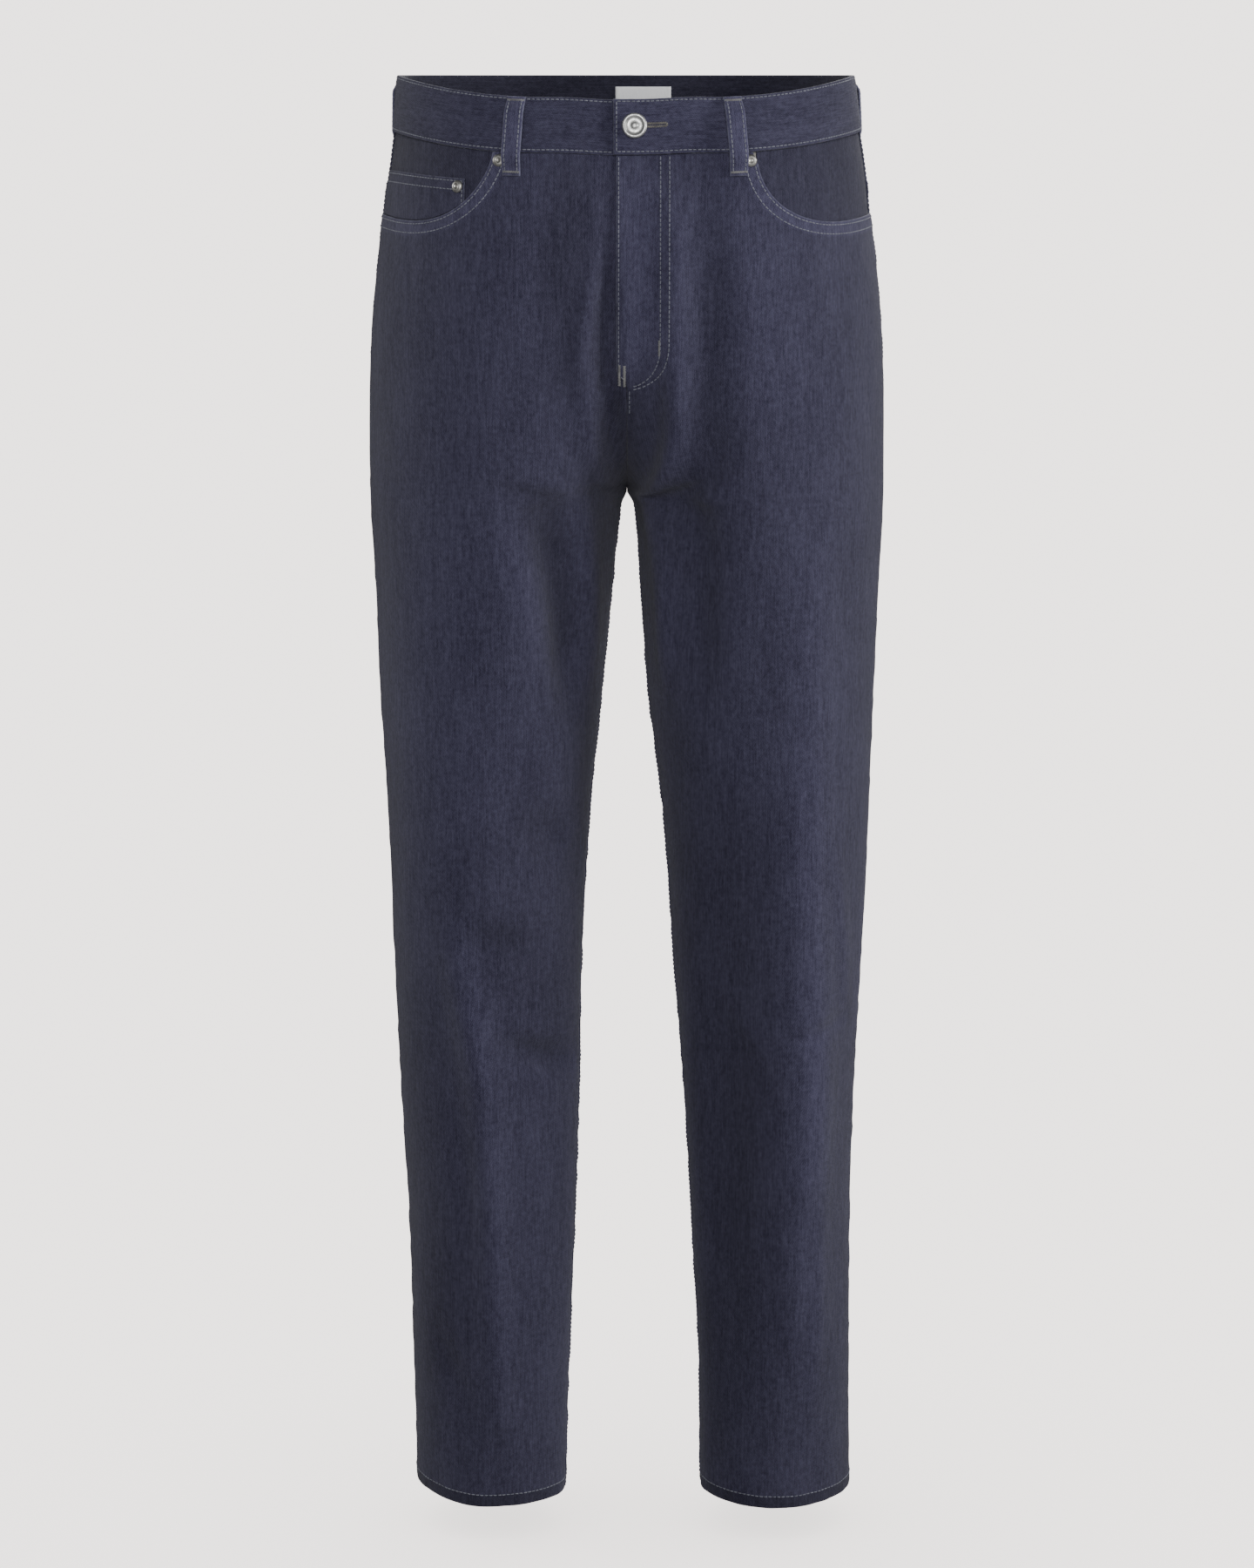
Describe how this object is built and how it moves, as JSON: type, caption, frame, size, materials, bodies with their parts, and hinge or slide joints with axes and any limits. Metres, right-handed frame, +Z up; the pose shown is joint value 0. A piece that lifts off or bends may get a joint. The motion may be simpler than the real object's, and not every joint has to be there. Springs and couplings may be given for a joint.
{
  "type": "tapered jeans",
  "caption": "Tapered five-pocket jeans, filled out as if worn: open waist and hems, closed fly, belt loops, scooped front pockets, yoked back.",
  "frame": {"origin": "middle of the waist, at half the height of the waistband's sides", "axes": "+Z up along the body, -Y out of the front, +X towards the wearer's left"},
  "size_m": [0.3732, 0.281, 1.0552],
  "materials": {
    "denim": "raw dark indigo warp-faced twill, matt",
    "pocketing": "plain off-white cotton",
    "zip_tape": "dark woven tape",
    "thread": "topstitching thread",
    "label": "blank white woven satin",
    "nickel": "satin nickel",
    "antique_nickel": "dull aged nickel"
  },
  "bodies": {
    "root": {"front_right_hip": "denim", "front_right_thigh": "denim", "front_right_calf": "denim", "front_left_hip": "denim", "front_left_thigh": "denim", "front_left_calf": "denim", "back_right_hip": "denim", "back_right_thigh": "denim", "back_right_calf": "denim", "back_left_hip": "denim", "back_left_thigh": "denim", "back_left_calf": "denim", "yoke_right": "denim", "yoke_left": "denim", "waistband": "denim", "pocket_facing_right": "denim", "pocket_facing_left": "denim", "coin_pocket": "denim", "pocket_bag_right": "pocketing", "pocket_bag_left": "pocketing", "back_pocket_right": "denim", "back_pocket_left": "denim", "hem_right": "denim", "hem_left": "denim", "zip": "zip_tape", "fly_shield": "denim", "belt_loop_front_right": "denim", "belt_loop_front_left": "denim", "belt_loop_side_right": "denim", "belt_loop_side_left": "denim", "belt_loop_back": "denim", "waist_label": "label", "waist_button": "nickel", "rivet_scoop_right": "antique_nickel", "rivet_scoop_left": "antique_nickel", "rivet_coin": "antique_nickel"}
  },
  "joints": []
}
